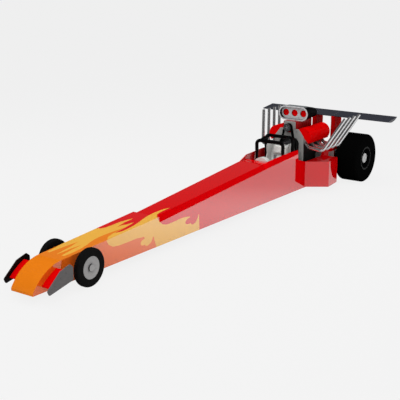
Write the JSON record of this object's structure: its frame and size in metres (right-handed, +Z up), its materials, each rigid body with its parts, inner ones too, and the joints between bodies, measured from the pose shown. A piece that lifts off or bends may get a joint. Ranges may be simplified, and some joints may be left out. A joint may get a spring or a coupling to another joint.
{
  "type": "drag racing car",
  "caption": "Long red rail dragster with a supercharged V engine behind the cockpit, swept exhaust pipes, huge rear slicks, a high rear wing and narrow steered front wheels.",
  "frame": {"origin": "on the ground at the centre of the car's overall length and width", "axes": "+X forward towards the nose, +Y to the car's left, +Z up"},
  "size_m": [8.5969, 2.696, 1.558],
  "materials": {
    "red_paint": "gloss",
    "belly": "satin",
    "plate_grey": "satin",
    "chassis_steel": "satin",
    "front_wheel": "satin",
    "tyre": "matte",
    "rear_wheel": "satin",
    "cage_black": "gloss",
    "seat_pad": "matte",
    "control_black": "matte",
    "cast_alloy": "satin",
    "blower_red": "satin",
    "drive_alloy": "satin",
    "belt": "matte",
    "hat_alloy": "polished",
    "pipe_chrome": "polished",
    "wing_slate": "satin"
  },
  "bodies": {
    "chassis": {"body_nose": "red_paint", "body_main": "red_paint", "cockpit_tub": "red_paint", "side_pod_left": "red_paint", "side_pod_right": "red_paint", "front_wing": "red_paint", "valve_covers": "red_paint", "wing_pylons": "red_paint", "belly_pan": "belly", "front_wing_endplates": "plate_grey", "motor_plate_front": "plate_grey", "motor_plate_rear": "plate_grey", "firewall": "plate_grey", "bay_gussets": "plate_grey", "blower_cover": "plate_grey", "dash_pod": "plate_grey", "front_axle": "chassis_steel", "frame_rails": "chassis_steel", "rear_axle_housing": "chassis_steel", "brake_calipers": "chassis_steel", "roll_cage": "cage_black", "seat": "seat_pad", "steering_wheel": "control_black", "engine_block": "cast_alloy", "cylinder_heads": "cast_alloy", "intake_manifold": "cast_alloy", "transmission": "cast_alloy", "blower_case": "blower_red", "throttle_butterflies": "blower_red", "blower_pulleys": "drive_alloy", "blower_belt": "belt", "injector_hat": "hat_alloy", "headers_left": "pipe_chrome", "headers_right": "pipe_chrome", "rear_wing": "wing_slate"},
    "knuckle_left": {"knuckle_left": "chassis_steel"},
    "knuckle_right": {"knuckle_right": "chassis_steel"},
    "tie_rod": {"tie_rod": "chassis_steel"},
    "front_wheel_left": {"front_rim_left": "front_wheel", "front_tyre_left": "tyre"},
    "front_wheel_right": {"front_rim_right": "front_wheel", "front_tyre_right": "tyre"},
    "rear_axle": {"rear_axle_shaft": "chassis_steel", "rear_rim_left": "rear_wheel", "rear_rim_right": "rear_wheel", "rear_tyre_left": "tyre", "rear_tyre_right": "tyre"}
  },
  "joints": [
    {"name": "steer_left", "type": "hinge", "parent": "chassis", "child": "knuckle_left", "pos_m": [3.3985, 0.248, 0.265], "axis": [0, 0, 1], "range_deg": [-10, 10]},
    {"name": "steer_right", "type": "hinge", "parent": "chassis", "child": "knuckle_right", "pos_m": [3.3985, -0.248, 0.265], "axis": [0, 0, 1], "range_deg": [-10, 10]},
    {"name": "tie_rod_slide", "type": "slide", "parent": "chassis", "child": "tie_rod", "axis": [0, 1, 0], "range_m": [-0.016, 0.016]},
    {"name": "front_left_spin", "type": "hinge", "parent": "knuckle_left", "child": "front_wheel_left", "pos_m": [3.3985, 0.322, 0.265], "axis": [0, 1, 0], "continuous": true},
    {"name": "front_right_spin", "type": "hinge", "parent": "knuckle_right", "child": "front_wheel_right", "pos_m": [3.3985, -0.322, 0.265], "axis": [0, 1, 0], "continuous": true},
    {"name": "rear_axle_spin", "type": "hinge", "parent": "chassis", "child": "rear_axle", "pos_m": [-3.8415, 0, 0.457], "axis": [0, 1, 0], "continuous": true}
  ],
  "couplings": [
    {"joint": "steer_right", "follows": "steer_left", "ratio": 1},
    {"joint": "tie_rod_slide", "follows": "steer_left", "m_per_rad": -0.09}
  ]
}
